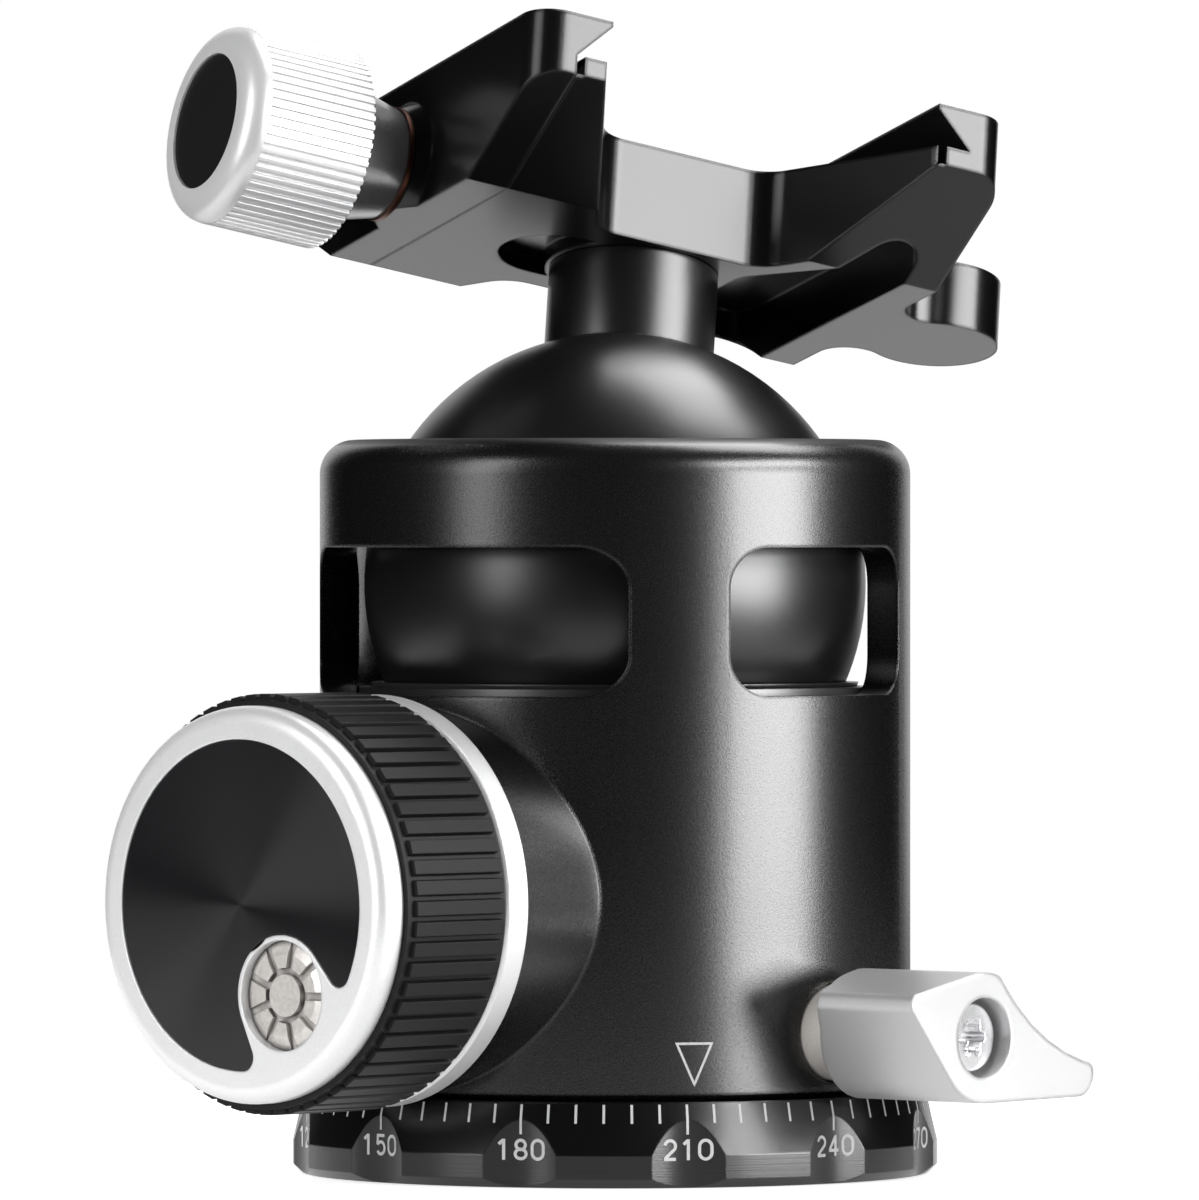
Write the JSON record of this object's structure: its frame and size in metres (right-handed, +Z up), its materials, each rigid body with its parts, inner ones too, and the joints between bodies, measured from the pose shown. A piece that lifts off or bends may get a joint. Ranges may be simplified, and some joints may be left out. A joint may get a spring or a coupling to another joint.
{
  "type": "tripod ball head",
  "caption": "Tripod ball head with a windowed housing, a panning base with a degree scale, a screw-knob dovetail clamp, a main locking knob with friction dial and a pan lever.",
  "frame": {"origin": "centre of the panning base's bottom face", "axes": "+Z up along the panning axis, main knob towards -X, pan lever towards -Y, drop notch towards +Y"},
  "size_m": [0.0903, 0.0793, 0.1012],
  "materials": {
    "base_black": "black anodised, fine turned",
    "housing_black": "black anodised, bead blasted",
    "ball_black": "black hard anodised, satin",
    "cup_black": "black anodised",
    "clamp_black": "black anodised, satin",
    "silver_anodised": "clear anodised, bead blasted",
    "bare_aluminium": "as turned",
    "neck_grey": "grey anodised, turned",
    "spun_black": "black anodised, spun",
    "dial_grey": "cast, satin",
    "grip_rubber": "ribbed rubber",
    "stainless": "turned",
    "steel": "plain",
    "spring_steel": "black oxide",
    "brass": "turned",
    "bronze": "turned",
    "white_polymer": "natural",
    "liner_polymer": "smooth",
    "level_green": "smooth",
    "level_clear": "clear"
  },
  "bodies": {
    "base": {"scale_ring": "base_black", "pan_spindle": "stainless", "base_screws": "steel", "spindle_washer": "brass", "spindle_clip": "spring_steel"},
    "housing": {"housing_shell": "housing_black", "bearing_block": "bare_aluminium", "glide_washer": "white_polymer", "knob_bush": "brass"},
    "main_knob": {"main_knob_core": "silver_anodised", "knob_grip": "grip_rubber", "knob_face": "spun_black", "lock_screw": "steel", "knob_bolt": "spring_steel"},
    "dial": {"friction_dial": "dial_grey", "dial_clip": "spring_steel"},
    "wedge": {"lock_wedge": "steel"},
    "cup": {"ball_cup": "cup_black"},
    "liner": {"cup_liner": "liner_polymer"},
    "ball": {"ball_and_stem": "ball_black"},
    "clamp": {"clamp_body": "clamp_black", "clamp_bolt": "steel", "level_cup": "level_green", "level_lens": "level_clear", "jaw_springs": "steel"},
    "jaw": {"moving_jaw": "clamp_black", "guide_pins": "steel"},
    "clamp_knob_assembly": {"clamp_knob": "silver_anodised", "clamp_knob_cap": "spun_black", "clamp_neck": "neck_grey", "clamp_washer": "bronze", "clamp_screw": "steel"},
    "lever": {"pan_lever": "silver_anodised", "lever_screw": "stainless", "pan_collar": "stainless", "pan_stud": "steel"},
    "pan_pad_body": {"pan_pad": "brass"}
  },
  "joints": [
    {"name": "pan_turn", "type": "hinge", "parent": "base", "child": "housing", "pos_m": [0, 0, 0], "axis": [0, 0, 1], "continuous": true},
    {"name": "main_knob_turn", "type": "hinge", "parent": "housing", "child": "main_knob", "pos_m": [-0.04, 0, 0.0244], "axis": [-1, 0, 0], "range_deg": [0, 360.2]},
    {"name": "friction_dial_turn", "type": "hinge", "parent": "main_knob", "child": "dial", "pos_m": [-0.046, -0.00495, 0.01687], "axis": [-1, 0, 0], "range_deg": [0, 270]},
    {"name": "wedge_slide", "type": "slide", "parent": "housing", "child": "wedge", "axis": [-1, 0, 0], "range_m": [0, 0.0015]},
    {"name": "cup_lower", "type": "slide", "parent": "housing", "child": "cup", "axis": [0, 0, -1], "range_m": [0, 0.00027]},
    {"name": "ball_swivel", "type": "hinge", "parent": "housing", "child": "liner", "pos_m": [0, 0, 0.0515], "axis": [0, 0, 1], "continuous": true},
    {"name": "ball_tilt", "type": "hinge", "parent": "liner", "child": "ball", "pos_m": [0, 0, 0.0515], "axis": [-0.5299, 0.848, 0], "range_deg": [-53.3, 16.7]},
    {"name": "ball_spin", "type": "hinge", "parent": "ball", "child": "clamp", "pos_m": [0, 0, 0.0515], "axis": [0.2663, 0.1664, 0.9494], "continuous": true},
    {"name": "jaw_slide", "type": "slide", "parent": "clamp", "child": "jaw", "axis": [-0.919, 0.3408, 0.198], "range_m": [0, 0.007]},
    {"name": "clamp_knob_turn", "type": "hinge", "parent": "jaw", "child": "clamp_knob_assembly", "pos_m": [-0.02418, 0.01784, 0.09039], "axis": [-0.919, 0.3408, 0.198], "range_deg": [0, 2017]},
    {"name": "pan_lever_turn", "type": "hinge", "parent": "housing", "child": "lever", "pos_m": [0, -0.035, 0.0129], "axis": [0, -1, 0], "range_deg": [0, 180.1]},
    {"name": "pan_pad_slide", "type": "slide", "parent": "housing", "child": "pan_pad_body", "axis": [0, -1, 0], "range_m": [0, 0.0005]}
  ],
  "couplings": [
    {"joint": "main_knob_turn", "follows": "wedge_slide", "rad_per_m": 4188.8},
    {"joint": "cup_lower", "follows": "wedge_slide", "ratio": 0.17633},
    {"joint": "clamp_knob_turn", "follows": "jaw_slide", "rad_per_m": 5026.5},
    {"joint": "pan_lever_turn", "follows": "pan_pad_slide", "rad_per_m": 6283.2}
  ]
}
